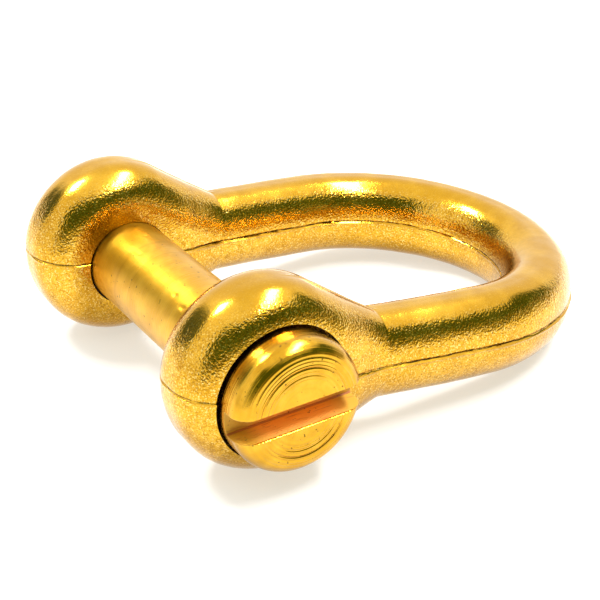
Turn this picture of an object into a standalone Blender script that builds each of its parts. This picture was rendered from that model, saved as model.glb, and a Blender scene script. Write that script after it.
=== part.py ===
"""Brass bow shackle with a slotted screw pin, 8 mm size.

Two real pieces: the one-piece cast bow with its two ears, and the turned pin.
The shackle lies at rest on its side, on the rims of both ears and the bottom
of the bend. Each piece is built round the middle of the pin's axis, with u
from the pin to the bend, v along the pin (head at -v) and w up, and is then
tilted about the pin and set down with the floor at z = 0.
"""
import math

import bmesh
import bpy
from mathutils import Matrix, Vector

# Bow
LENGTH = 0.0368            # pin axis to the bar's centreline at the bend
BEND_RADIUS = 0.0148       # of the bar's centreline, round the bend
BAR_WIDTH = 0.0065         # in the plane of the bow
BAR_HEIGHT = 0.0080        # square to that plane
JAW_WIDTH = 0.0200         # clear gap between the ears
EAR_RADIUS = 0.0084
EAR_LIFT = 0.0004          # the ears sit a little above the middle of their holes
EAR_THICKNESS = 0.0083
EAR_ROUNDING = 0.0036      # radius of the ear's rounded rim
NECK_SLOPE = math.radians(27)   # how steeply an ear runs down to the bar
FLASH_HEIGHT = 0.00015     # ridge of metal left on the mould's parting line
FLASH_WIDTH = 0.00030
LEAST_FLAT = 0.0003        # flat left between two rounded corners of the bar

# Pin
SHANK_RADIUS = 0.0040
THREAD_ROOT = 0.0032
THREAD_DEPTH = 0.00065     # its crest runs clear of the far ear's bore
THREAD_PITCH = 0.00125
THREAD_ROWS = 5            # rows of the mesh in one pitch
HEAD_RADIUS = 0.0059
HEAD_PROUD = 0.0030        # how far the head stands out of its ear
HEAD_SHOULDER = 0.0017     # radius of the head's rounded edge
TIP_PROUD = 0.0005         # how far the tip stands out of the far ear
TIP_CHAMFER = 0.0008
SLOT_WIDTH = 0.0022
SLOT_DEPTH = 0.0025
SLOT_TURN = math.radians(7)     # the slot's angle from the bow's plane
SLOT_DROP = 0.00025        # the slot is sawn a little below the head's middle

# Holes
COUNTERBORE_RADIUS = 0.0062
COUNTERBORE_DEPTH = 0.0020
NEAR_BORE_RADIUS = 0.00410
FAR_RECESS_RADIUS = 0.00420
FAR_RECESS_DEPTH = 0.0016
FAR_BORE_RADIUS = 0.00395
SEAT_GAP = 0.0003          # kept between the head and its seat

# Places along the pin's axis, measured from its middle
JAW = JAW_WIDTH / 2
EAR_FACE = JAW + EAR_THICKNESS
HEAD_SEAT = EAR_FACE - COUNTERBORE_DEPTH
HEAD_FRONT = EAR_FACE + HEAD_PROUD
TIP = EAR_FACE + TIP_PROUD
THREAD_START = JAW + FAR_RECESS_DEPTH - SEAT_GAP
THREAD_END = TIP - TIP_CHAMFER

# Places along the bow
BEND_START = LENGTH - BEND_RADIUS
NECK_START = EAR_RADIUS * math.sin(NECK_SLOPE)
NECK_DROP = EAR_RADIUS * math.cos(NECK_SLOPE) - BAR_HEIGHT / 2
NECK_END = NECK_START + NECK_DROP / math.tan(NECK_SLOPE)

# How the shackle rests
PIN_HEIGHT = EAR_RADIUS - EAR_LIFT
TILT = math.asin((PIN_HEIGHT - BAR_HEIGHT / 2) / LENGTH)
EAR_REACH = EAR_RADIUS - EAR_LIFT * math.sin(TILT)
BEND_REACH = LENGTH * math.cos(TILT) + math.hypot(
    (BAR_WIDTH / 2 + FLASH_HEIGHT) * math.cos(TILT), BAR_HEIGHT / 2 * math.sin(TILT)
)
PIN_MIDDLE = Vector(((EAR_REACH - BEND_REACH) / 2, (HEAD_FRONT - TIP) / 2, PIN_HEIGHT))
AT_REST = Matrix.Translation(PIN_MIDDLE) @ Matrix.Rotation(TILT, 4, "Y")

SIDES = 40                 # round a turned shape
CUTTER_OVERRUN = 0.002


def clear_scene():
    for thing in list(bpy.data.objects):
        bpy.data.objects.remove(thing)


def new_collection(name):
    collection = bpy.data.collections.new(name)
    bpy.context.scene.collection.children.link(collection)
    return collection


def new_object(name, mesh, collection):
    thing = bpy.data.objects.new(name, mesh)
    thing.matrix_world = AT_REST
    collection.objects.link(thing)
    return thing


def brass(name, colour, roughness):
    material = bpy.data.materials.new(name)
    material.use_nodes = True
    shader = material.node_tree.nodes["Principled BSDF"]
    shader.inputs["Base Color"].default_value = (*colour, 1.0)
    shader.inputs["Metallic"].default_value = 1.0
    shader.inputs["Roughness"].default_value = roughness
    return material


def ease(start, end, amount):
    """A value that runs smoothly from start to end as amount goes 0 to 1."""
    t = min(max(amount, 0.0), 1.0)
    return start + (end - start) * t * t * (3 - 2 * t)


def ear_section(u):
    """Half width, half height and side flat of the ear and its neck at u."""
    inner = EAR_RADIUS - EAR_ROUNDING
    flat = math.sqrt(max(inner * inner - u * u, 0.0))
    if u > 0:
        flat = ease(inner, LEAST_FLAT, u / NECK_END)
    half_height = math.sqrt(max(EAR_RADIUS**2 - u * u, 0.0))
    half_width = EAR_THICKNESS / 2
    if u > NECK_START:
        half_height = BAR_HEIGHT / 2 + (NECK_END - u) * math.tan(NECK_SLOPE)
    if u > inner:
        half_width = ease(half_width, BAR_WIDTH / 2, (u - inner) / (NECK_END - inner))
    if u < -inner:
        rounding = math.sqrt(EAR_ROUNDING**2 - (u + inner) ** 2)
        half_width = EAR_THICKNESS / 2 - EAR_ROUNDING + rounding
    return half_width, half_height, max(flat, LEAST_FLAT)


def ring(centre, side, half_width, half_height, flat, top_flat):
    """One section of the casting: a box with elliptical corners and a flash ridge.

    centre and side are in the bow's plane; side points away from the loop.
    """
    arc = [math.radians(angle) for angle in range(15, 90, 15)]
    quarter = [(half_width, FLASH_WIDTH / 2), (half_width, flat)]
    quarter += [
        (
            top_flat + (half_width - top_flat) * math.cos(t),
            flat + (half_height - flat) * math.sin(t),
        )
        for t in arc
    ]
    quarter += [(top_flat, half_height)]
    ridge = half_width + FLASH_HEIGHT
    upper = [(ridge, 0.0)] + quarter + [(0.0, half_height)]
    upper += [(-across, high) for across, high in reversed(quarter)] + [(-ridge, 0.0)]
    lower = [(-across, -high) for across, high in upper[1:-1]]
    up = Vector((0, 0, 1))
    return [centre + side * across + up * high for across, high in upper + lower]


def ear_rings():
    """Sections across the far ear and its neck, from the ear's outer end."""
    turns = (8, 16, 24, 33, 42, 51, 60, 70, 80, 90)
    stations = [-EAR_RADIUS * math.cos(math.radians(turn)) for turn in turns]
    steps = 8
    stations += [NECK_END * step / steps for step in range(1, steps + 1)]
    rings = []
    for u in stations:
        half_width, half_height, flat = ear_section(u)
        top_flat = ease(EAR_THICKNESS / 2 - EAR_ROUNDING, LEAST_FLAT, u / NECK_END)
        centre = Vector((u, leg_offset(u), ear_lift(u)))
        rings.append(ring(centre, Vector((0, 1, 0)), half_width, half_height, flat, top_flat))
    return rings


def ear_lift(u):
    """Height of the ear's middle over the pin's axis, which is gone where the bar starts."""
    return ease(EAR_LIFT, 0, u / NECK_END)


def leg_offset(u):
    """Distance of a leg's centreline from the middle of the bow."""
    inner = EAR_RADIUS - EAR_ROUNDING
    return ease(JAW + EAR_THICKNESS / 2, BEND_RADIUS, (u - inner) / (BEND_START - inner))


def bar_ring(centre, side):
    return ring(centre, side, BAR_WIDTH / 2, BAR_HEIGHT / 2, LEAST_FLAT, LEAST_FLAT)


def leg_and_bend_rings():
    """Sections from the neck to the middle of the bend."""
    rings = []
    leg_steps = 4
    for step in range(1, leg_steps):
        u = NECK_END + (BEND_START - NECK_END) * step / leg_steps
        rings.append(bar_ring(Vector((u, leg_offset(u), 0)), Vector((0, 1, 0))))
    bend_steps = 14
    for step in range(bend_steps + 1):
        turn = math.pi / 2 * step / bend_steps
        side = Vector((math.sin(turn), math.cos(turn), 0))
        rings.append(bar_ring(Vector((BEND_START, 0, 0)) + side * BEND_RADIUS, side))
    return rings


def half_bow_mesh():
    """Loft of the far half of the bow, open at the middle of the bend."""
    rings = ear_rings() + leg_and_bend_rings()
    for corner in rings[-1]:
        corner.y = 0.0
    mesh = bpy.data.meshes.new("bow_body")
    form = bmesh.new()
    rows = [[form.verts.new(corner) for corner in row] for row in rings]
    for row, following in zip(rows, rows[1:]):
        for i in range(len(row)):
            j = (i + 1) % len(row)
            form.faces.new((row[i], following[i], following[j], row[j]))
    end = form.verts.new((-EAR_RADIUS, JAW + EAR_THICKNESS / 2, EAR_LIFT))
    first = rows[0]
    for i in range(len(first)):
        form.faces.new((end, first[i], first[(i + 1) % len(first)]))
    bmesh.ops.recalc_face_normals(form, faces=form.faces)
    form.to_mesh(mesh)
    form.free()
    return mesh


def turned_object(name, profile, collection):
    """A solid turned round the pin's axis from (radius, v) points.

    The profile starts and ends on the axis and runs towards +v. Screw takes it
    the other way round, so that the faces point out.
    """
    mesh = bpy.data.meshes.new(name)
    corners = [(radius, v, 0) for radius, v in reversed(profile)]
    mesh.from_pydata(corners, [(i, i + 1) for i in range(len(corners) - 1)], [])
    thing = new_object(name, mesh, collection)
    screw = thing.modifiers.new("turn", "SCREW")
    screw.axis = "Y"
    screw.steps = SIDES
    screw.render_steps = SIDES
    screw.use_merge_vertices = True
    screw.merge_threshold = 0.00001
    return thing


def as_cutter(thing):
    thing.display_type = "WIRE"
    thing.hide_render = True
    return thing


def cut(thing, cutter):
    boolean = thing.modifiers.new(cutter.name, "BOOLEAN")
    boolean.operation = "DIFFERENCE"
    boolean.solver = "EXACT"
    boolean.object = cutter


def near_hole_cutter(collection):
    """Plain bore for the shank, with a counterbore for the head."""
    outside = -(EAR_FACE + CUTTER_OVERRUN)
    inside = -(JAW - CUTTER_OVERRUN)
    profile = [
        (0, outside),
        (COUNTERBORE_RADIUS, outside),
        (COUNTERBORE_RADIUS, -HEAD_SEAT),
        (NEAR_BORE_RADIUS, -HEAD_SEAT),
        (NEAR_BORE_RADIUS, inside),
        (0, inside),
    ]
    return as_cutter(turned_object("near_hole", profile, collection))


def far_hole_cutter(collection):
    """Threaded hole, drawn as a plain bore, with a clearance recess at the jaw."""
    inside = JAW - CUTTER_OVERRUN
    outside = EAR_FACE + CUTTER_OVERRUN
    recess_floor = JAW + FAR_RECESS_DEPTH
    profile = [
        (0, inside),
        (FAR_RECESS_RADIUS, inside),
        (FAR_RECESS_RADIUS, recess_floor),
        (FAR_BORE_RADIUS, recess_floor),
        (FAR_BORE_RADIUS, outside),
        (0, outside),
    ]
    return as_cutter(turned_object("far_hole", profile, collection))


def build_bow(parts, cutters):
    bow = new_object("bow_body", half_bow_mesh(), parts)
    mirror = bow.modifiers.new("other half", "MIRROR")
    mirror.use_axis = (False, True, False)
    mirror.merge_threshold = 0.00001
    cut(bow, near_hole_cutter(cutters))
    cut(bow, far_hole_cutter(cutters))
    bow.data.materials.append(brass("cast brass", (0.78, 0.50, 0.08), 0.34))
    bow.data.shade_smooth()
    bow.data.set_sharp_from_angle(angle=math.radians(35))
    return bow


def pin_profile():
    """The pin's outline from the head's front to the tip."""
    shoulder = [math.radians(angle) for angle in (0, 18, 36, 54, 72, 90)]
    shoulder_middle = HEAD_RADIUS - HEAD_SHOULDER
    profile = [(0, -HEAD_FRONT)]
    profile += [
        (
            shoulder_middle + HEAD_SHOULDER * math.sin(t),
            -HEAD_FRONT + HEAD_SHOULDER * (1 - math.cos(t)),
        )
        for t in shoulder
    ]
    profile += [
        (HEAD_RADIUS, -HEAD_SEAT - SEAT_GAP),
        (SHANK_RADIUS, -HEAD_SEAT - SEAT_GAP),
        (SHANK_RADIUS, THREAD_START - (SHANK_RADIUS - THREAD_ROOT)),
    ]
    rows = round((THREAD_END - THREAD_START) / THREAD_PITCH * THREAD_ROWS)
    reach = THREAD_END - THREAD_START
    profile += [(THREAD_ROOT, THREAD_START + reach * row / rows) for row in range(rows + 1)]
    profile += [(THREAD_ROOT - TIP_CHAMFER / 2, TIP), (0, TIP)]
    return profile


def thread_radius(v, turn):
    """Radius of the thread: a rounded ridge that climbs one pitch each turn."""
    climb = (v - THREAD_START) / THREAD_PITCH - turn / (2 * math.pi)
    ridge = 0.5 + 0.5 * math.cos(2 * math.pi * climb)
    run_in = min(1.0, (v - THREAD_START) / THREAD_PITCH)
    run_out = min(1.0, (THREAD_END - v) / THREAD_PITCH)
    return THREAD_ROOT + THREAD_DEPTH * ridge * run_in * run_out


def add_thread(pin):
    """Bake the turned shape and raise the helical ridge on its rows near the tip."""
    graph = bpy.context.evaluated_depsgraph_get()
    mesh = bpy.data.meshes.new_from_object(pin.evaluated_get(graph))
    pin.modifiers.clear()
    pin.data = mesh
    for vertex in mesh.vertices:
        v = vertex.co.y
        if THREAD_START < v < THREAD_END:
            turn = math.atan2(vertex.co.z, vertex.co.x)
            radius = thread_radius(v, turn)
            vertex.co.x = radius * math.cos(turn)
            vertex.co.z = radius * math.sin(turn)


def slot_cutter(collection):
    mesh = bpy.data.meshes.new("slot")
    form = bmesh.new()
    bmesh.ops.create_cube(form, size=1.0)
    depth = SLOT_DEPTH + CUTTER_OVERRUN
    size = Matrix.Diagonal((4 * HEAD_RADIUS, depth, SLOT_WIDTH, 1))
    middle = Matrix.Translation((0, -HEAD_FRONT - CUTTER_OVERRUN + depth / 2, -SLOT_DROP))
    turn = Matrix.Rotation(-SLOT_TURN, 4, "Y")
    bmesh.ops.transform(form, matrix=turn @ middle @ size, verts=form.verts)
    form.to_mesh(mesh)
    form.free()
    return as_cutter(new_object("slot", mesh, collection))


def build_pin(parts, cutters):
    pin = turned_object("screw_pin", pin_profile(), parts)
    add_thread(pin)
    cut(pin, slot_cutter(cutters))
    pin.data.materials.append(brass("turned brass", (0.80, 0.52, 0.12), 0.22))
    pin.data.shade_smooth()
    pin.data.set_sharp_from_angle(angle=math.radians(35))
    return pin


def main():
    clear_scene()
    parts = new_collection("bow_shackle")
    cutters = new_collection("cutters")
    build_bow(parts, cutters)
    build_pin(parts, cutters)


main()
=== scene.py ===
"""Looks of the brass bow shackle: the fine casting, the turned screw pin, the floor, lights and camera.

Lengths are in metres. Both pieces are modelled in the shackle's own directions:
u from the pin to the bend, v along the pin (head at -v) and w up. AT_REST tilts
them about the pin and lays the shackle on the floor, as in the CAD model.
"""

import math

import bmesh
import bpy
import numpy as np
from mathutils import Matrix, Vector, noise


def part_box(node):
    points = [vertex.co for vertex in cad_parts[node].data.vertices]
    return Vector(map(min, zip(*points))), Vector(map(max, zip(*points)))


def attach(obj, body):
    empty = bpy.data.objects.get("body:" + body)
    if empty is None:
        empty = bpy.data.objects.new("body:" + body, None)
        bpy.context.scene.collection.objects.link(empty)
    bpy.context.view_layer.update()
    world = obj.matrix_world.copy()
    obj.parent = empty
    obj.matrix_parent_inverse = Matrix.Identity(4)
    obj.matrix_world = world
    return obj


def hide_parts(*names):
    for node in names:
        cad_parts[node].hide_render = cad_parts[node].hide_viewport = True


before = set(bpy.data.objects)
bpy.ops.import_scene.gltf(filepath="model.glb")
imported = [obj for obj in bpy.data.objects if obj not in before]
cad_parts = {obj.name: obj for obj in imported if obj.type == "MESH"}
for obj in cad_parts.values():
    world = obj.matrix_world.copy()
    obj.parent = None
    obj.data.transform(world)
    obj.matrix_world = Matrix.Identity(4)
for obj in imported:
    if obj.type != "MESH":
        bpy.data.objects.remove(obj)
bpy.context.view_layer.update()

MM = 0.001

# Bow, the CAD model's sizes
LENGTH = 36.8 * MM             # pin axis to the bar's centreline at the bend
BEND_RADIUS = 14.8 * MM
BAR_WIDTH = 6.5 * MM
BAR_HEIGHT = 8.0 * MM
JAW = 10.0 * MM                # half the gap between the ears
EAR_RADIUS = 8.4 * MM
EAR_LIFT = 0.4 * MM            # the ears sit a little above the middle of their holes
EAR_THICKNESS = 8.3 * MM
EAR_ROUNDING = 3.6 * MM
NECK_SLOPE = math.radians(27)
LEAST_FLAT = 0.3 * MM

# Pin, the CAD model's sizes
SHANK_RADIUS = 4.0 * MM
THREAD_ROOT = 3.2 * MM
THREAD_DEPTH = 0.65 * MM
THREAD_PITCH = 1.25 * MM
HEAD_RADIUS = 5.9 * MM
HEAD_PROUD = 3.0 * MM
HEAD_SHOULDER = 1.7 * MM
TIP_PROUD = 0.5 * MM
TIP_CHAMFER = 0.8 * MM
SLOT_WIDTH = 2.2 * MM
SLOT_DEPTH = 2.5 * MM
SLOT_TURN = math.radians(7)
SLOT_DROP = 0.25 * MM

# Holes; the counterbore and the far recess are slightly tighter than the CAD model's and off-centre
COUNTERBORE_RADIUS = 6.1 * MM
COUNTERBORE_DEPTH = 2.0 * MM
COUNTERBORE_SHIFT = Vector((-0.08, 0.0, 0.12)) * MM
NEAR_BORE_RADIUS = 4.1 * MM
FAR_RECESS_RADIUS = 4.12 * MM
FAR_RECESS_DEPTH = 1.6 * MM
RECESS_SHIFT = Vector((-0.04, 0.0, -0.07)) * MM
FAR_BORE_RADIUS = 3.95 * MM
SEAT_GAP = 0.3 * MM            # kept between the head and its seat

# Places worked out from the sizes
EAR_FACE = JAW + EAR_THICKNESS
HEAD_SEAT = EAR_FACE - COUNTERBORE_DEPTH
HEAD_FRONT = EAR_FACE + HEAD_PROUD
TIP = EAR_FACE + TIP_PROUD
THREAD_START = JAW + FAR_RECESS_DEPTH - SEAT_GAP
THREAD_END = TIP - TIP_CHAMFER
BEND_START = LENGTH - BEND_RADIUS
FLAT_RADIUS = EAR_RADIUS - EAR_ROUNDING
NECK_START = EAR_RADIUS * math.sin(NECK_SLOPE)
NECK_DROP = EAR_RADIUS * math.cos(NECK_SLOPE) - BAR_HEIGHT / 2
NECK_END = NECK_START + NECK_DROP / math.tan(NECK_SLOPE)

# How the shackle rests; the pin's middle comes from the frame
pin_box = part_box("screw_pin")
PIN_HEIGHT = EAR_RADIUS - EAR_LIFT
TILT = math.asin((PIN_HEIGHT - BAR_HEIGHT / 2) / LENGTH)
PIN_MIDDLE = Vector((
    (pin_box[0].x + pin_box[1].x) / 2,
    (pin_box[0].y + HEAD_FRONT + pin_box[1].y - TIP) / 2,
    PIN_HEIGHT,
))
AT_REST = Matrix.Translation(PIN_MIDDLE) @ Matrix.Rotation(TILT, 4, "Y")

# Casting marks
FLASH_HEIGHT = 0.13 * MM       # ridge of metal squeezed out along the mould's parting
FLASH_WIDTH = 0.11 * MM
FLASH_DROP = 0.05 * MM         # the ridge's middle is this far below the section's
GROOVE_DEPTH = 0.10 * MM       # of the groove filed above the ridge
GROOVE_WIDTH = 0.07 * MM
GROOVE_RISE = 0.13 * MM
EAR_FADE = 0.45                # share of the ridge and groove that is gone on the ears
EAR_FADE_START = 4.0 * MM      # u from where they grow back to full height
EAR_FADE_LENGTH = 6.0 * MM
MOULD_SHIFT = 0.10 * MM        # how far the upper half of the mould sat to one side
SHIFT_BLUR = 0.05 * MM         # height over which that shift comes in
CROWN_RIDGE = 0.07 * MM        # edge along the top and the underside of each neck
CROWN_WIDTH = 0.16 * MM
CROWN_START = 0.5 * MM
CROWN_RUN_IN = 3.5 * MM
CROWN_RUN_OUT = 0.5 * MM

# Unevenness of the cast skin: height, size of its features and seed
SKIN_WAVES = (
    (0.050 * MM, 5.5 * MM, 3),
    (0.018 * MM, 1.7 * MM, 4),
    (0.007 * MM, 0.7 * MM, 5),
)

# Marks on the pin
FACE_GROOVES = (               # turning marks on the head: radius, width and depth in millimetres
    (2.50, 0.15, 0.02),
    (3.00, 0.08, 0.04),
    (3.34, 0.10, 0.07),
    (3.66, 0.08, 0.04),
    (3.96, 0.10, 0.09),
    (4.26, 0.10, 0.11),
    (4.56, 0.08, 0.06),
    (4.84, 0.08, 0.06),
)
DISH_DEPTH = 0.03 * MM         # hollow in the middle of the head's face
DISH_EDGE = 2.2 * MM
DISH_FADE = 1.6 * MM
SLOT_LIP = 0.06 * MM           # broken edge along the slot
SLOT_CORNER = 0.12 * MM
CENTRE_HOLE = (                # lathe centre in the tip: radius and depth in millimetres
    (0.8, 0.15),
    (0.4, 0.40),
    (0.0, 0.55),
)
CENTRE_HOLE_RADIUS = 1.2 * MM
PIN_WAVE = 0.010 * MM          # height of its slow unevenness
PIT_LEVEL = 0.52               # noise above this is a pit
SHANK_PITS = 0.35 * MM         # depth for each unit of noise over the level
OTHER_PITS = 0.05 * MM

# Edges of the holes and shape of the threads
BROKEN_EDGE = 0.2 * MM
COUNTERSINK = 0.35 * MM        # of the far bore, at the ear's outer face
FEMALE_DEPTH = 0.35 * MM       # of the thread cut in the far bore
FEMALE_START = 0.05 * MM       # it begins this far past the recess
ROOT_SHARE = 0.12              # of half a pitch, taken by the thread's flat root
FLANK_SHARE = 0.74             # of half a pitch, taken by the flank

# Fineness of the meshes
GRID = 0.21 * MM               # between the sections of the bow
CORNER_POINTS = 48             # used to measure a section's rounded corner
SIDE_POINTS = 28               # between the close-set points at the parting line and at the crown
LEG_SECTIONS = 54
CAP_ROWS = 58
CUTTER_SIDES = 160
CUTTER_GRID = 0.4 * MM
CUTTER_OVERRUN = 2.0 * MM      # of a cutter past the face it opens
PIN_SIDES = 200
SHOULDER_POINTS = 22
SLOT_GRID = 0.2 * MM
SLOT_REACH = 9.0 * MM          # half length of the slot's cutter

UP = np.array((0.0, 0.0, 1.0))


def smooth(amount):
    """Runs from 0 to 1 with level ends as amount goes 0 to 1; takes numbers or arrays."""
    t = np.clip(amount, 0.0, 1.0)
    return t * t * (3 - 2 * t)


def blend(start, end, amount):
    """A value that runs smoothly from start to end as amount goes 0 to 1."""
    return start + (end - start) * smooth(amount)


def runs(start, end, step):
    """Evenly set values from start to end, at most a step apart."""
    return np.linspace(start, end, max(2, math.ceil(abs(end - start) / step) + 1))


def grain(places, size, seed):
    """Smooth noise from about -1 to 1 with features of the given size."""
    shift = Vector((seed * 3.1, seed * 1.7, seed * 5.3))
    scaled = places / size
    return np.array([noise.noise(Vector(p) + shift) for p in scaled.tolist()])


# ---------------------------------------------------------------- meshes

def faces_between(index):
    """Four-sided faces between closed rows of corner numbers."""
    following = np.roll(index, -1, axis=1)
    return np.stack([index[:-1], index[1:], following[1:], following[:-1]], -1).reshape(-1, 4)


def mesh_from(name, corners, faces):
    """A closed mesh facing out, where a corner that a face repeats is used once."""
    mesh = bpy.data.meshes.new(name)
    outlines = [list(dict.fromkeys(face)) for face in faces]
    mesh.from_pydata(corners.tolist(), [], [outline for outline in outlines if len(outline) > 2])
    form = bmesh.new()
    form.from_mesh(mesh)
    bmesh.ops.recalc_face_normals(form, faces=form.faces)
    if form.calc_volume(signed=True) < 0:
        bmesh.ops.reverse_faces(form, faces=form.faces)
    form.to_mesh(mesh)
    form.free()
    mesh.update()
    return mesh


def vertex_arrays(mesh):
    """Places and normals of a mesh's corners, a row each."""
    count = len(mesh.vertices)
    places = np.zeros(count * 3)
    mesh.vertices.foreach_get("co", places)
    normals = np.zeros(count * 3, np.float32)
    mesh.vertex_normals.foreach_get("vector", normals)
    return places.reshape(-1, 3), normals.reshape(-1, 3).astype(float)


def turned_mesh(name, profile, sides, shape=None):
    """A closed solid turned round the pin's axis from (radius, v) points that start and end on it.

    shape, if given, returns the radius at (radius, v, turn) and so can raise a thread.
    """
    radius, along = np.array(profile[1:-1]).T
    turn = np.linspace(0.0, 2 * math.pi, sides, endpoint=False)
    radii = np.repeat(radius[:, None], sides, 1)
    if shape:
        radii = shape(radii, along[:, None], turn[None, :])
    across = radii * np.cos(turn)
    high = radii * np.sin(turn)
    grid = np.stack([across, np.repeat(along[:, None], sides, 1), high], -1)
    rows = len(radius)
    corners = np.concatenate((grid.reshape(-1, 3), [(0, profile[0][1], 0), (0, profile[-1][1], 0)]))
    index = np.arange(rows * sides).reshape(rows, sides)
    following = np.roll(index, -1, axis=1)
    faces = [faces_between(index)]
    for pole, row in ((rows * sides, 0), (rows * sides + 1, rows - 1)):
        centre = np.full(sides, pole)
        faces.append(np.stack([index[row], following[row], centre, centre], -1))
    return mesh_from(name, corners, np.concatenate(faces).tolist())


def new_object(name, mesh):
    """An object that holds the mesh where it lies at rest."""
    mesh.transform(AT_REST)
    thing = bpy.data.objects.new(name, mesh)
    bpy.context.scene.collection.objects.link(thing)
    return thing


def cut(thing, cutters):
    """Cuts the cutters out of thing, applies the result and removes the cutters."""
    for cutter in cutters:
        boolean = thing.modifiers.new(cutter.name, "BOOLEAN")
        boolean.operation = "DIFFERENCE"
        boolean.solver = "MANIFOLD"
        boolean.object = cutter
    bpy.context.view_layer.update()
    graph = bpy.context.evaluated_depsgraph_get()
    mesh = bpy.data.meshes.new_from_object(thing.evaluated_get(graph))
    thing.modifiers.clear()
    thing.data = mesh
    for cutter in cutters:
        bpy.data.objects.remove(cutter)


def dress(piece, material, sharp_from):
    """Gives a piece its material and smooth shading, sharp at edges over an angle in degrees."""
    mesh = piece.data
    mesh.shade_smooth()
    mesh.set_sharp_from_angle(angle=math.radians(sharp_from))
    mesh.materials.clear()
    mesh.materials.append(material)


# ---------------------------------------------------------------- bow

def ear_lift(u):
    """Height of the section's middle over the pin's axis."""
    return blend(EAR_LIFT, 0.0, u / NECK_END)


def leg_offset(u):
    """Distance of a leg's centreline from the middle of the bow."""
    return blend(JAW + EAR_THICKNESS / 2, BEND_RADIUS, (u - FLAT_RADIUS) / (BEND_START - FLAT_RADIUS))


def neck_section(u):
    """Half width, half height, side flat and top flat between the ear's middle and the bar."""
    flat = blend(FLAT_RADIUS, LEAST_FLAT, u / NECK_END)
    half_height = math.sqrt(max(EAR_RADIUS**2 - u * u, 0.0))
    half_width = EAR_THICKNESS / 2
    if u > NECK_START:
        half_height = BAR_HEIGHT / 2 + (NECK_END - u) * math.tan(NECK_SLOPE)
    if u > FLAT_RADIUS:
        half_width = blend(half_width, BAR_WIDTH / 2, (u - FLAT_RADIUS) / (NECK_END - FLAT_RADIUS))
    top_flat = blend(EAR_THICKNESS / 2 - EAR_ROUNDING, LEAST_FLAT, u / NECK_END)
    return half_width, half_height, flat, top_flat


def quarter(half_width, half_height, flat, top_flat):
    """Outline of a section from the parting line to the crown, close-set at both ends."""
    turn = np.linspace(0.0, math.pi / 2, CORNER_POINTS)
    across = np.concatenate(([half_width], top_flat + (half_width - top_flat) * np.cos(turn), [0.0]))
    high = np.concatenate(([0.0], flat + (half_height - flat) * np.sin(turn), [half_height]))
    along = np.concatenate(([0.0], np.cumsum(np.hypot(np.diff(across), np.diff(high)))))
    at_parting = np.array([0.0, 0.04, 0.08, 0.12, 0.17, 0.24, 0.33, 0.45]) * MM
    at_crown = along[-1] - np.array([0.45, 0.32, 0.22, 0.14, 0.07, 0.0]) * MM
    between = np.linspace(at_parting[-1], at_crown[0], SIDE_POINTS)[1:-1]
    stops = np.concatenate((at_parting, between, at_crown))
    return np.stack([np.interp(stops, along, across), np.interp(stops, along, high)], 1)


def ring(centre, side, section):
    """One closed section: outer parting point, crown, inner parting point, underside."""
    upper = quarter(*section)
    outline = np.concatenate((
        upper,
        upper[-2::-1] * (-1, 1),
        upper[1:] * (-1, -1),
        upper[-2:0:-1] * (1, -1),
    ))
    across, high = outline[:, :1], outline[:, 1:]
    return np.array(centre) + across * np.array(side) + high * UP


def half_bow_rings():
    """Sections from the middle of the far ear to the middle of the bend."""
    bar = (BAR_WIDTH / 2, BAR_HEIGHT / 2, LEAST_FLAT, LEAST_FLAT)
    crease = np.array([0.5, 0.3, 0.15, 0.05]) * MM
    neck = np.linspace(0.0, NECK_END - crease[0], round(NECK_END / GRID))
    neck = np.concatenate((neck, NECK_END - crease[1:]))
    # The first three of the leg's sections would lie within the crease
    past_crease = np.linspace(NECK_END, BEND_START, LEG_SECTIONS)[3:]
    leg = np.concatenate((NECK_END + crease[::-1], past_crease))
    rings = []
    for u in neck:
        rings.append(ring((u, leg_offset(u), ear_lift(u)), (0, 1, 0), neck_section(u)))
    for u in leg:
        rings.append(ring((u, leg_offset(u), 0), (0, 1, 0), bar))
    steps = round(math.pi / 2 * BEND_RADIUS / GRID)
    for step in range(1, steps + 1):
        turn = math.pi / 2 * step / steps
        side = (math.sin(turn), math.cos(turn), 0)
        centre = (BEND_START + side[0] * BEND_RADIUS, side[1] * BEND_RADIUS, 0)
        rings.append(ring(centre, side, bar))
    return np.array(rings)


def cap_turns():
    """Angles of the rows that sweep round an ear's free end, close-set at the parting line."""
    close = np.radians([0.0, 0.3, 0.6, 1.0, 1.6, 2.4, 3.4])
    wide = np.linspace(close[-1], math.pi / 2, CAP_ROWS)[1:-1]
    half = np.concatenate((close, wide))
    return np.concatenate((math.pi / 2 - half[::-1], math.pi / 2 + half[1:]))


def bow_grid():
    """Corners and faces of the whole casting before its surface is roughened."""
    far = half_bow_rings()
    near = far[-2::-1] * (1, -1, 1)
    rings = np.concatenate((far, near))
    count, around = rings.shape[:2]
    half = around // 2
    corners = [rings.reshape(-1, 3)]
    index = np.arange(count * around).reshape(count, around)
    faces = [faces_between(index)]
    next_free = count * around
    middle = UP * EAR_LIFT
    for end in (0, count - 1):
        out = rings[end, : half + 1] - middle
        first = index[end, : half + 1]
        last = np.concatenate(([index[end, 0]], index[end, :half - 1:-1]))
        rows = [first]
        for turn in cap_turns():
            swept = np.stack([-out[:, 2] * math.sin(turn), out[:, 1], out[:, 2] * math.cos(turn)], 1)
            corners.append(swept[1:-1] + middle)
            inner = np.arange(next_free, next_free + half - 1)
            next_free += half - 1
            rows.append(np.concatenate(([first[0]], inner, [first[-1]])))
        rows.append(last)
        rows = np.array(rows)
        cap = np.stack([rows[:-1, :-1], rows[:-1, 1:], rows[1:, 1:], rows[1:, :-1]], -1)
        cap = cap if end == 0 else cap[..., ::-1]
        faces.append(cap.reshape(-1, 4))
    return np.concatenate(corners), np.concatenate(faces).tolist()


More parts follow.
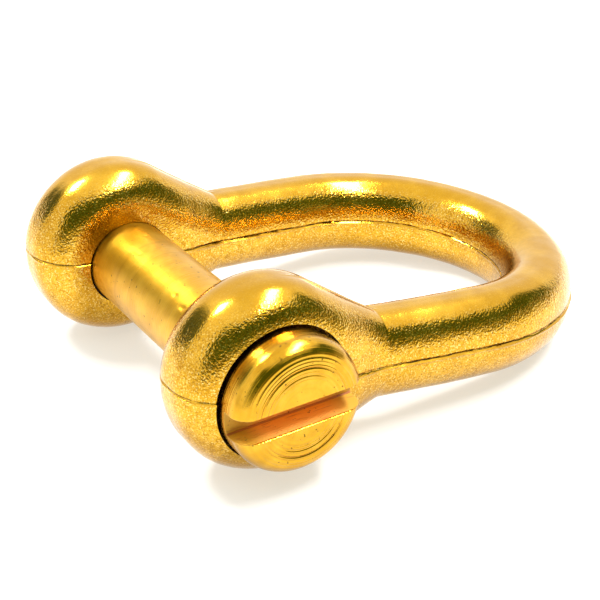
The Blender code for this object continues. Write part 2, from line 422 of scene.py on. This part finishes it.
def roughen_bow(mesh):
    """Parting line, crown edges, mould mismatch and the cast skin's unevenness."""
    places, normals = vertex_arrays(mesh)
    u, v, w = places.T
    over = w - ear_lift(u)
    patchy = 0.75 + 0.6 * grain(places, size=2.3 * MM, seed=1) + 0.35 * grain(places, size=0.6 * MM, seed=2)
    patchy = np.clip(patchy, 0.1, 1.4)
    flash = FLASH_HEIGHT * patchy * np.exp(-(((over + FLASH_DROP) / FLASH_WIDTH) ** 2))
    groove = GROOVE_DEPTH * np.exp(-(((over - GROOVE_RISE) / GROOVE_WIDTH) ** 2))
    on_ear = 1 - smooth((u - EAR_FADE_START) / EAR_FADE_LENGTH)
    rise = (flash - groove * np.clip(patchy, 0.4, 1.0)) * (1 - EAR_FADE * on_ear)
    leg_middle = np.abs(np.abs(v) - leg_offset(u))
    in_neck = smooth((u - CROWN_START) / CROWN_RUN_IN) * (1 - smooth((u - NECK_END) / CROWN_RUN_OUT))
    rise += CROWN_RIDGE * in_neck * np.exp(-((leg_middle / CROWN_WIDTH) ** 2))
    for height, size, seed in SKIN_WAVES:
        rise += height * grain(places, size, seed)
    places = places + normals * rise[:, None]
    upper = smooth(0.5 + over / SHIFT_BLUR)
    places[:, 1] += MOULD_SHIFT * (upper - 0.5)
    mesh.vertices.foreach_set("co", places.ravel())
    mesh.update()


def turned_cutter(name, profile, shape=None, shift=Vector()):
    """A turned solid to cut with; shift moves it off the pin's axis."""
    mesh = turned_mesh(name, profile, CUTTER_SIDES, shape)
    mesh.transform(Matrix.Translation(shift))
    return new_object(name, mesh)


def counterbore():
    """Seat of the pin's head in the near ear."""
    outside = -(EAR_FACE + CUTTER_OVERRUN)
    profile = [(0, outside), (COUNTERBORE_RADIUS, outside)]
    profile += [(COUNTERBORE_RADIUS, v) for v in runs(-EAR_FACE, -HEAD_SEAT, CUTTER_GRID)]
    inner = 3 * MM             # this lies within the near bore
    profile += [(radius, -HEAD_SEAT) for radius in runs(COUNTERBORE_RADIUS, inner, CUTTER_GRID)[1:]]
    profile += [(0, -HEAD_SEAT)]
    return turned_cutter("counterbore", profile, shift=COUNTERBORE_SHIFT)


def near_bore():
    """The shank's plain bore, with a broken edge at the jaw."""
    overlap = 1 * MM
    start = -HEAD_SEAT - overlap
    inside = -JAW + CUTTER_OVERRUN
    edge_radius = NEAR_BORE_RADIUS + BROKEN_EDGE
    profile = [(0, start)]
    profile += [(NEAR_BORE_RADIUS, v) for v in runs(start, -JAW - BROKEN_EDGE, CUTTER_GRID)]
    profile += [(edge_radius, -JAW), (edge_radius, inside), (0, inside)]
    return turned_cutter("near_bore", profile)


def far_recess():
    """Clearance for the shank's end behind the far jaw."""
    inside = JAW - CUTTER_OVERRUN
    floor = JAW + FAR_RECESS_DEPTH
    profile = [(0, inside), (FAR_RECESS_RADIUS, inside)]
    profile += [(FAR_RECESS_RADIUS, v) for v in runs(JAW, floor, CUTTER_GRID)]
    profile += [(0, floor)]
    return turned_cutter("far_recess", profile, shift=RECESS_SHIFT)


def thread_wave(along, turn, start):
    """Height of a rounded vee thread, 0 at the root and 1 at the crest."""
    climb = (along - start) / THREAD_PITCH - turn / (2 * math.pi)
    vee = np.abs((climb % 1.0) * 2 - 1)
    return np.clip((vee - ROOT_SHARE) / FLANK_SHARE, 0.0, 1.0)


def far_bore():
    """The threaded bore, with a countersink at the ear's outer face."""
    start = JAW + FAR_RECESS_DEPTH
    end = EAR_FACE - COUNTERSINK
    overlap = 0.5 * MM
    inside = start - overlap
    outside = EAR_FACE + CUTTER_OVERRUN
    mouth_radius = FAR_BORE_RADIUS + COUNTERSINK
    profile = [(0, inside), (FAR_BORE_RADIUS, inside)]
    profile += [(FAR_BORE_RADIUS, v) for v in runs(start, end, step=0.1 * MM)]
    profile += [(mouth_radius, EAR_FACE), (mouth_radius, outside), (0, outside)]

    def female(radii, along, turn):
        inside_thread = (along > start + FEMALE_START) & (along < end)
        return radii + np.where(inside_thread, FEMALE_DEPTH * thread_wave(along, turn, start), 0.0)

    return turned_cutter("far_bore", profile, shape=female)


def build_bow():
    """The casting: one fine mesh with its holes cut, riding on the bow."""
    mesh = mesh_from("cast_bow", *bow_grid())
    roughen_bow(mesh)
    bow = new_object("cast_bow", mesh)
    cut(bow, [counterbore(), near_bore(), far_recess(), far_bore()])
    dress(bow, cast_brass(), sharp_from=50)
    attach(bow, "bow")
    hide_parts("bow_body")


# ---------------------------------------------------------------- pin

def face_mark(radius):
    """Depth of the turning marks on the head's face at a radius."""
    depth = 0.0
    for place, width, deep in FACE_GROOVES:
        depth += deep * MM * math.exp(-(((radius / MM - place) / width) ** 2))
    return depth + DISH_DEPTH * (1 - smooth((radius - DISH_EDGE) / DISH_FADE))


def pin_profile():
    """The pin's outline from the head's front to the tip."""
    flat_edge = HEAD_RADIUS - HEAD_SHOULDER
    profile = [(0, -HEAD_FRONT + face_mark(0))]
    for radius in runs(0.15 * MM, flat_edge, step=0.05 * MM):
        profile.append((radius, -HEAD_FRONT + face_mark(radius)))
    for turn in np.linspace(0, math.pi / 2, SHOULDER_POINTS)[1:]:
        radius = flat_edge + HEAD_SHOULDER * math.sin(turn)
        v = -HEAD_FRONT + HEAD_SHOULDER * (1 - math.cos(turn)) + face_mark(radius)
        profile.append((radius, v))
    side_start = -HEAD_FRONT + HEAD_SHOULDER
    side_end = -HEAD_SEAT - SEAT_GAP
    profile += [(HEAD_RADIUS, v) for v in runs(side_start, side_end, step=0.25 * MM)[1:]]
    profile += [(radius, side_end) for radius in runs(HEAD_RADIUS, SHANK_RADIUS, step=0.35 * MM)[1:]]
    shank_end = THREAD_START - (SHANK_RADIUS - THREAD_ROOT)
    profile += [(SHANK_RADIUS, v) for v in runs(side_end, shank_end, step=0.22 * MM)[1:]]
    profile += [(THREAD_ROOT, v) for v in runs(THREAD_START, THREAD_END, step=0.08 * MM)]
    tip_radius = THREAD_ROOT - TIP_CHAMFER / 2
    profile += [(radius, TIP) for radius in runs(tip_radius, CENTRE_HOLE_RADIUS, step=0.2 * MM)]
    profile += [(radius * MM, TIP - depth * MM) for radius, depth in CENTRE_HOLE]
    return profile


def male_thread(radii, along, turn):
    """The pin's thread, which rises from the shank and fades again at the tip."""
    run = np.minimum(along - THREAD_START, THREAD_END - along) / THREAD_PITCH
    wave = thread_wave(along, turn, THREAD_START)
    return radii + THREAD_DEPTH * wave * np.clip(run, 0.0, 1.0)


def slot_cutter():
    """The screwdriver slot: a saw cut with a broken edge at its mouth."""
    half = SLOT_WIDTH / 2
    outside = -HEAD_FRONT - CUTTER_OVERRUN
    floor = -HEAD_FRONT + SLOT_DEPTH
    wall = [(-half - SLOT_LIP, outside), (-half - SLOT_LIP, -HEAD_FRONT)]
    wall += [(-half, v) for v in runs(-HEAD_FRONT + 1.3 * SLOT_LIP, floor - SLOT_CORNER, SLOT_GRID)]
    wall += [(-half + SLOT_CORNER, floor)]
    floor_edge = half - 0.3 * MM
    bottom = [(w, floor) for w in runs(-floor_edge, floor_edge, SLOT_GRID)]
    other_wall = [(-w, v) for w, v in reversed(wall)]
    w, v = np.array(wall + bottom + other_wall).T
    rows = [np.stack([np.full(len(w), u), v, w], 1) for u in runs(-SLOT_REACH, SLOT_REACH, SLOT_GRID)]
    index = np.arange(len(rows) * len(w)).reshape(len(rows), len(w))
    faces = faces_between(index).tolist() + [index[0].tolist(), index[-1].tolist()]
    mesh = mesh_from("slot", np.concatenate(rows), faces)
    mesh.transform(Matrix.Rotation(-SLOT_TURN, 4, "Y") @ Matrix.Translation((0, 0, -SLOT_DROP)))
    return new_object("slot", mesh)


def roughen_pin(mesh):
    """Slight unevenness and small pits, deepest on the shank."""
    places, normals = vertex_arrays(mesh)
    v = places[:, 1]
    rise = PIN_WAVE * grain(places, size=2.5 * MM, seed=6)
    pits = np.clip(grain(places, size=0.8 * MM, seed=7) - PIT_LEVEL, 0, 1)
    on_shank = (v > -HEAD_SEAT) & (v < THREAD_START - 0.5 * MM)
    rise -= np.where(on_shank, SHANK_PITS * pits, OTHER_PITS * pits)
    places = places + normals * rise[:, None]
    mesh.vertices.foreach_set("co", places.ravel())
    mesh.update()


def build_pin():
    """The screw pin: one turned mesh with its slot cut, riding on the pin's body."""
    mesh = turned_mesh("turned_pin", pin_profile(), PIN_SIDES, male_thread)
    roughen_pin(mesh)
    pin = new_object("turned_pin", mesh)
    cut(pin, [slot_cutter()])
    dress(pin, turned_brass(), sharp_from=40)
    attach(pin, "pin")
    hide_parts("screw_pin")


# ---------------------------------------------------------------- node trees

class Graph:
    """Short calls for building a node tree; each returns the socket that holds its result."""

    def __init__(self, tree):
        self.tree = tree

    def give(self, value, target):
        """Links a socket to the target, or sets the target to a number or colour."""
        if isinstance(value, bpy.types.NodeSocket):
            self.tree.links.new(value, target)
        else:
            target.default_value = value

    def math(self, operation, a, b=0.0):
        node = self.tree.nodes.new("ShaderNodeMath")
        node.operation = operation
        self.give(a, node.inputs[0])
        self.give(b, node.inputs[1])
        return node.outputs[0]

    def plus(self, a, b):
        return self.math("ADD", a, b)

    def minus(self, a, b):
        return self.math("SUBTRACT", a, b)

    def times(self, a, b):
        return self.math("MULTIPLY", a, b)

    def larger(self, a, b):
        return self.math("MAXIMUM", a, b)

    def absolute(self, a):
        return self.math("ABSOLUTE", a)

    def ramp(self, value, low, high, to_low=0.0, to_high=1.0):
        """Runs smoothly from to_low to to_high as value goes from low to high."""
        node = self.tree.nodes.new("ShaderNodeMapRange")
        node.interpolation_type = "SMOOTHSTEP"
        for given, target in zip((value, low, high, to_low, to_high), node.inputs):
            self.give(given, target)
        return node.outputs[0]

    def band(self, value, middle, half_width, soft):
        """1 within half_width of middle, falling to 0 over soft."""
        distance = self.absolute(self.minus(value, middle))
        return self.ramp(distance, half_width, half_width + soft, to_low=1.0, to_high=0.0)

    def split(self, vector):
        """The vector's three numbers."""
        node = self.tree.nodes.new("ShaderNodeSeparateXYZ")
        self.give(vector, node.inputs[0])
        return node.outputs

    def join(self, x, y, z):
        """A vector of three numbers."""
        node = self.tree.nodes.new("ShaderNodeCombineXYZ")
        for value, target in zip((x, y, z), node.inputs):
            self.give(value, target)
        return node.outputs[0]

    def dot(self, vector, fixed):
        """Dot product of a vector and a fixed direction."""
        node = self.tree.nodes.new("ShaderNodeVectorMath")
        node.operation = "DOT_PRODUCT"
        self.give(vector, node.inputs[0])
        self.give(fixed, node.inputs[1])
        return node.outputs["Value"]

    def mix(self, amount, first, second):
        """A colour between first and second, each a socket or three numbers."""
        node = self.tree.nodes.new("ShaderNodeMix")
        node.data_type = "RGBA"
        self.give(amount, node.inputs["Factor"])
        for colour, target in ((first, node.inputs["A"]), (second, node.inputs["B"])):
            if isinstance(colour, tuple):
                colour = (*colour, 1.0)
            self.give(colour, target)
        return node.outputs["Result"]


class Nodes(Graph):
    """A node material; lengths inside are in millimetres, along u, v and w."""

    def __init__(self, name):
        self.material = bpy.data.materials.new(name)
        self.material.use_nodes = True
        super().__init__(self.material.node_tree)
        self.shader = self.tree.nodes["Principled BSDF"]
        self.coordinates = self.tree.nodes.new("ShaderNodeTexCoord").outputs
        upright = self.tree.nodes.new("ShaderNodeMapping")
        upright.vector_type = "TEXTURE"
        upright.inputs["Location"].default_value = PIN_MIDDLE
        upright.inputs["Rotation"].default_value = (0, TILT, 0)
        upright.inputs["Scale"].default_value = (MM, MM, MM)
        self.give(self.coordinates["Object"], upright.inputs["Vector"])
        self.place = upright.outputs[0]
        self.u, self.v, self.w = self.split(self.place)

    def noise(self, size, detail, roughness=0.5, vector=None):
        """Noise from 0 to 1 with features about size across, read at vector or else at place."""
        node = self.tree.nodes.new("ShaderNodeTexNoise")
        node.inputs["Scale"].default_value = 1 / size
        node.inputs["Detail"].default_value = detail
        node.inputs["Roughness"].default_value = roughness
        self.give(vector or self.place, node.inputs["Vector"])
        return node.outputs[0]

    def facing_up(self):
        """How squarely the surface faces up or down, from 0 to 1."""
        return self.absolute(self.split(self.coordinates["Normal"])[2])

    def radius(self):
        """Distance from the pin's axis."""
        return self.math("SQRT", self.plus(self.times(self.u, self.u), self.times(self.w, self.w)))

    def bump(self, height, distance, strength, normal=None):
        """Bump from a height in units of distance, on top of normal if given."""
        node = self.tree.nodes.new("ShaderNodeBump")
        node.inputs["Strength"].default_value = strength
        node.inputs["Distance"].default_value = distance * MM
        self.give(height, node.inputs["Height"])
        if normal is not None:
            self.give(normal, node.inputs["Normal"])
        return node.outputs[0]

    def finish(self, colour, roughness, normal, metallic=1.0, coat=0.0):
        """Sets the shader and returns the material."""
        self.give(metallic, self.shader.inputs["Metallic"])
        self.shader.inputs["Coat Weight"].default_value = coat
        self.shader.inputs["Coat Roughness"].default_value = COAT_ROUGHNESS
        self.give(colour, self.shader.inputs["Base Color"])
        self.give(roughness, self.shader.inputs["Roughness"])
        self.give(normal, self.shader.inputs["Normal"])
        return self.material


# ---------------------------------------------------------------- materials

GOLD = (0.56, 0.290, 0.014)            # most of the brass, in patches of these two
PALE_GOLD = (0.66, 0.365, 0.026)
AMBER = (0.42, 0.20, 0.006)            # tarnish
GLINT_GOLD = (0.88, 0.66, 0.22)        # pale grains of the cast skin, painted glints
REFLECTED_COPPER = (1.00, 0.46, 0.090)           # the middle of the slot, a painted reflection of light bounced between its walls
STREAK_AND_SHADE_RED = (0.30, 0.04, 0.01)          # streaks, and painted shade in the lower corner of the slot
# painted shade in the holes, the parting groove and inside the ears; also the pin's dark pits
SHADE_AND_PIT_BLACK = (0.018, 0.004, 0.001)
COAT_ROUGHNESS = 0.12

# The floor, a pale card
FLOOR_GREYS = ((0.42, 0.42, 0.43), (0.44, 0.44, 0.44))
FLOOR_GLOW = (1.0, 0.98, 0.90, 1.0)
FLOOR_GLOW_STRENGTH = 0.58
FLOOR_ROUGHNESS = 0.9
FLOOR_SIZE = 3.0


def hole_shade(n):
    """Painted shade on the walls of the counterbore and of the far recess."""
    radius = n.radius()
    wall = COUNTERBORE_RADIUS / MM
    in_counterbore = n.ramp(radius, low=wall + 0.05, high=wall - 0.06)
    below_face = n.ramp(n.v, low=-EAR_FACE / MM + 0.2, high=-EAR_FACE / MM + 0.9)
    outside_jaw = n.ramp(n.v, low=-JAW / MM - 0.2, high=-JAW / MM - 0.6)
    near = n.times(in_counterbore, n.times(below_face, outside_jaw))
    past_jaw = n.ramp(n.v, low=JAW / MM + 0.1, high=JAW / MM + 0.5)
    recess = FAR_RECESS_RADIUS / MM
    in_recess = n.ramp(radius, low=recess + 0.33, high=recess + 0.21)
    return n.larger(near, n.times(past_jaw, in_recess))


def seam_shade(n):
    """Broken line of painted shade in the groove above the parting ridge."""
    lift = n.ramp(n.u, low=0.0, high=NECK_END / MM, to_low=EAR_LIFT / MM, to_high=0.0)
    line = n.band(n.minus(n.w, lift), middle=0.14, half_width=0.02, soft=0.07)
    broken = n.ramp(n.noise(size=0.9, detail=3.0), low=0.36, high=0.60, to_low=0.15, to_high=0.75)
    return n.times(line, broken)


def cast_brass():
    """Bright sand-cast brass: orange-peel grain, tarnish in the low spots, pale grains as painted glints,
    painted shade in the groove at the parting line and on the walls of the holes.
    """
    n = Nodes("cast brass")
    fine = n.noise(size=0.20, detail=1.0)
    specks = n.noise(size=0.15, detail=3.0, roughness=0.7)
    coarse = n.noise(size=0.55, detail=2.0)
    patches = n.noise(size=3.5, detail=3.0)
    # Painted glints: pale specks in the skin's grain, fewer on the worn tops
    glint_specks = n.ramp(n.noise(size=0.16, detail=3.0, roughness=0.7), low=0.53, high=0.64)
    worn = n.ramp(n.facing_up(), low=0.55, high=0.86, to_low=1.0, to_high=0.15)
    low_spots = n.plus(n.times(specks, 0.7), n.times(coarse, 0.3))
    tarnish = n.ramp(low_spots, low=0.52, high=0.41)
    colour = n.mix(n.ramp(patches, low=0.38, high=0.66), GOLD, PALE_GOLD)
    colour = n.mix(n.times(tarnish, worn), colour, AMBER)
    colour = n.mix(n.times(n.times(glint_specks, worn), 0.7), colour, GLINT_GOLD)
    # Painted shade: the parting groove and the walls of the holes are darkened nearly to black
    painted_shade = n.larger(seam_shade(n), hole_shade(n))
    colour = n.mix(n.times(painted_shade, 0.97), colour, SHADE_AND_PIT_BLACK)
    roughness = n.ramp(patches, low=0.3, high=0.7, to_low=0.12, to_high=0.18)
    normal = n.bump(n.times(coarse, worn), distance=0.05, strength=0.6)
    normal = n.bump(n.times(fine, worn), distance=0.055, strength=0.8, normal=normal)
    return n.finish(colour, roughness, normal, coat=0.12)


def slot_place(n):
    """Where the slot is, from 0 to 1, and the height over the head's middle measured square to it."""
    across = n.plus(n.times(n.w, math.cos(SLOT_TURN)), n.times(n.u, -math.sin(SLOT_TURN)))
    between_walls = n.band(across, middle=-SLOT_DROP / MM, half_width=SLOT_WIDTH / 2 / MM + 0.01, soft=0.04)
    front = -HEAD_FRONT / MM
    floor = (-HEAD_FRONT + SLOT_DEPTH) / MM
    behind_front = n.ramp(n.v, low=front + 0.12, high=front + 0.3)
    above_floor = n.ramp(n.v, low=floor + 0.06, high=floor + 0.02)
    return n.times(n.times(between_walls, behind_front), above_floor), across


def slot_colour(n, colour, in_slot, across):
    """Painted reflection in the slot: a coppery middle standing in for light bounced between its walls, red
    streaks, and a red line of painted shade where its floor meets the lower wall.
    """
    # Painted reflection: copper in the slot's middle, fading to gold at its ends
    middle = n.ramp(n.absolute(n.minus(n.u, 0.3)), low=5.0, high=2.6)
    colour = n.mix(in_slot, colour, n.mix(n.times(middle, 0.85), GOLD, REFLECTED_COPPER))
    floor = (-HEAD_FRONT + SLOT_DEPTH) / MM
    low_edge = -(SLOT_DROP + SLOT_WIDTH / 2) / MM
    at_floor = n.band(n.v, middle=floor, half_width=0.08, soft=0.10)
    at_low_wall = n.band(across, middle=low_edge, half_width=0.10, soft=0.10)
    stretched = n.join(n.times(n.u, 0.15), n.v, across)
    streaks = n.ramp(n.noise(size=0.22, detail=3.0, vector=stretched), low=0.55, high=0.72)
    # Painted shade: a red line where the slot's floor meets its lower wall, joined with red streaks
    streaks_and_corner_shade = n.larger(n.times(at_floor, at_low_wall), n.times(streaks, 0.6))
    return n.mix(n.times(n.times(in_slot, streaks_and_corner_shade), 0.7), colour, STREAK_AND_SHADE_RED)


def turned_brass():
    """Lathe-turned brass: fine rings round the axis, faint scratches, small dark pits, a painted reflection
    in the slot and painted shade inside the ears.
    """
    n = Nodes("turned brass")
    wander = n.times(n.noise(size=2.0, detail=2.0), 0.05)
    lathe = n.join(n.plus(n.radius(), wander), n.plus(n.v, wander), 0.0)
    rings = n.noise(size=0.14, detail=2.0, roughness=0.6, vector=lathe)
    wide_rings = n.noise(size=0.9, detail=2.0, vector=lathe)
    stretched = n.join(n.times(n.u, 0.25), n.v, n.times(n.w, 0.25))
    scratches = n.noise(size=0.16, detail=3.0, vector=stretched)
    patches = n.noise(size=1.6, detail=3.0)
    pits = n.ramp(n.noise(size=0.35, detail=1.0), low=0.71, high=0.76)
    colour = n.mix(n.ramp(patches, low=0.35, high=0.68), GOLD, PALE_GOLD)
    colour = n.mix(n.times(n.ramp(wide_rings, low=0.5, high=0.7), 0.4), colour, AMBER)
    in_slot, across = slot_place(n)
    colour = slot_colour(n, colour, in_slot, across)
    colour = n.mix(n.times(pits, 0.7), colour, SHADE_AND_PIT_BLACK)
    # Painted shade: the pin is darkened where it lies in the near bore and along its threaded end
    below_face = n.ramp(n.v, low=-EAR_FACE / MM, high=-EAR_FACE / MM + 0.8)
    outside_jaw = n.ramp(n.v, low=-JAW / MM, high=-JAW / MM - 0.4)
    threaded = n.ramp(n.v, low=THREAD_START / MM - 0.4, high=THREAD_START / MM)
    shade_inside_ears = n.larger(n.times(below_face, outside_jaw), threaded)
    colour = n.mix(n.times(shade_inside_ears, 0.45), colour, SHADE_AND_PIT_BLACK)
    roughness = n.ramp(patches, low=0.3, high=0.7, to_low=0.13, to_high=0.22)
    roughness = n.ramp(n.v, low=-EAR_FACE / MM, high=-JAW / MM, to_low=roughness, to_high=0.38)
    roughness = n.larger(roughness, n.times(in_slot, 0.6))
    normal = n.bump(rings, distance=0.035, strength=0.7)
    normal = n.bump(scratches, distance=0.02, strength=0.4, normal=normal)
    return n.finish(colour, roughness, normal, metallic=n.minus(1.0, in_slot), coat=0.15)


def floor_material():
    """Pale card that glows a little, as a lit shooting table does."""
    n = Nodes("pale floor")
    colour = n.mix(n.noise(size=40.0, detail=2.0), *FLOOR_GREYS)
    n.shader.inputs["Emission Color"].default_value = FLOOR_GLOW
    n.shader.inputs["Emission Strength"].default_value = FLOOR_GLOW_STRENGTH
    normal = n.bump(n.noise(size=3.0, detail=2.0), distance=0.01, strength=0.2)
    return n.finish(colour, FLOOR_ROUGHNESS, normal, metallic=0.0)


# ---------------------------------------------------------------- studio

CAMERA_AZIMUTH = -31.04
CAMERA_ELEVATION = 28.25
CAMERA_ROLL = -0.9
CAMERA_DISTANCE = 139.6 * MM
CAMERA_TARGET = Vector((-3.3, 1.29, 4.79)) * MM
CAMERA_HALF_VIEW = math.radians(11.43)


def direction(azimuth, elevation):
    """Unit vector from the object; azimuth 0 is towards -Y and 90 towards +X."""
    around, up = math.radians(azimuth), math.radians(elevation)
    return Vector((math.sin(around) * math.cos(up), -math.cos(around) * math.cos(up), math.sin(up)))


# The walls that the brass reflects; each pair of angles is where a part starts to fade, and is gone
WHITE = (1.0, 1.0, 1.0)
WALL_BRIGHTNESS = 1.4
DARK = (0.08, 0.13, 0.028)             # in front, up high
DIM = (0.38, 0.36, 0.20)               # in front, near the horizon
DARK_AZIMUTH = 15                      # middle of the dark front
DARK_HALF_WIDTH = (74, 86)             # degrees to either side of it
HORIZON = (0.10, 0.32)                 # sines of the elevations between which dim turns to dark
OVERHEAD = direction(90, 80.5)         # middle of the white ceiling
CEILING_EDGE = (0.77, 0.69)            # cosines of the angles from it
GREY_GREEN = (0.10, 0.14, 0.12)        # a patch low behind
REAR_DARK = direction(-145, 24)
REAR_HALF_WIDTH = (10, 22)             # degrees from its middle


def cosine(degrees):
    """Cosine of an angle in degrees."""
    return math.cos(math.radians(degrees))


def add_camera():
    """The camera, aimed between the pin and the middle of the loop."""
    data = bpy.data.cameras.new("camera")
    data.sensor_width = 36.0
    data.lens = data.sensor_width / 2 / math.tan(CAMERA_HALF_VIEW)
    data.clip_start = 0.005
    data.clip_end = 10.0
    camera = bpy.data.objects.new("camera", data)
    bpy.context.scene.collection.objects.link(camera)
    back = direction(CAMERA_AZIMUTH, CAMERA_ELEVATION)
    camera.location = CAMERA_TARGET + back * CAMERA_DISTANCE
    camera.rotation_mode = "QUATERNION"
    roll = Matrix.Rotation(math.radians(CAMERA_ROLL), 4, "Z")
    aim = (-back).to_track_quat("-Z", "Y").to_matrix().to_4x4() @ roll
    camera.rotation_quaternion = aim.to_quaternion()
    bpy.context.scene.camera = camera


def add_light(name, azimuth, elevation, distance, width, height, brightness):
    """A soft box that faces the object; brightness is its radiance."""
    data = bpy.data.lights.new(name, "AREA")
    data.shape = "RECTANGLE"
    data.size = width
    data.size_y = height
    data.energy = brightness * math.pi * width * height
    light = bpy.data.objects.new(name, data)
    towards = direction(azimuth, elevation)
    light.location = towards * distance
    light.rotation_mode = "QUATERNION"
    light.rotation_quaternion = (-towards).to_track_quat("-Z", "Y")
    bpy.context.scene.collection.objects.link(light)


def add_floor():
    """The table that the shackle lies on."""
    bpy.ops.mesh.primitive_grid_add(x_subdivisions=8, y_subdivisions=8, size=FLOOR_SIZE)
    floor = bpy.context.object
    floor.name = "floor"
    floor.data.materials.append(floor_material())


def add_world():
    """White studio walls, dark in front below the ceiling and in one patch low behind."""
    world = bpy.data.worlds.new("studio")
    world.use_nodes = True
    g = Graph(world.node_tree)
    background = g.tree.nodes["Background"]
    towards = g.tree.nodes.new("ShaderNodeTexCoord").outputs["Generated"]
    height = g.split(towards)[2]
    level = g.math("SQRT", g.minus(1.0, g.times(height, height)))
    ahead = g.math("DIVIDE", g.dot(towards, direction(DARK_AZIMUTH, 0)), level)
    in_front = g.ramp(ahead, low=cosine(DARK_HALF_WIDTH[1]), high=cosine(DARK_HALF_WIDTH[0]))
    below_ceiling = g.ramp(g.dot(towards, OVERHEAD), low=CEILING_EDGE[0], high=CEILING_EDGE[1])
    shade = g.mix(g.ramp(height, low=HORIZON[0], high=HORIZON[1]), DIM, DARK)
    colour = g.mix(g.times(in_front, below_ceiling), WHITE, shade)
    near_patch = g.dot(towards, REAR_DARK)
    rear = g.ramp(near_patch, low=cosine(REAR_HALF_WIDTH[1]), high=cosine(REAR_HALF_WIDTH[0]))
    g.give(g.mix(rear, colour, GREY_GREEN), background.inputs["Color"])
    background.inputs["Strength"].default_value = WALL_BRIGHTNESS
    bpy.context.scene.world = world


def build_studio():
    add_camera()
    add_floor()
    add_world()
    add_light(
        "rear soft box",
        azimuth=-146, elevation=55, distance=0.35, width=0.07, height=0.06, brightness=85.0,
    )
    add_light(
        "overhead soft box",
        azimuth=68, elevation=67, distance=0.35, width=0.26, height=0.055, brightness=46.0,
    )
    bpy.context.scene.view_settings.view_transform = "Standard"


build_bow()
build_pin()
build_studio()
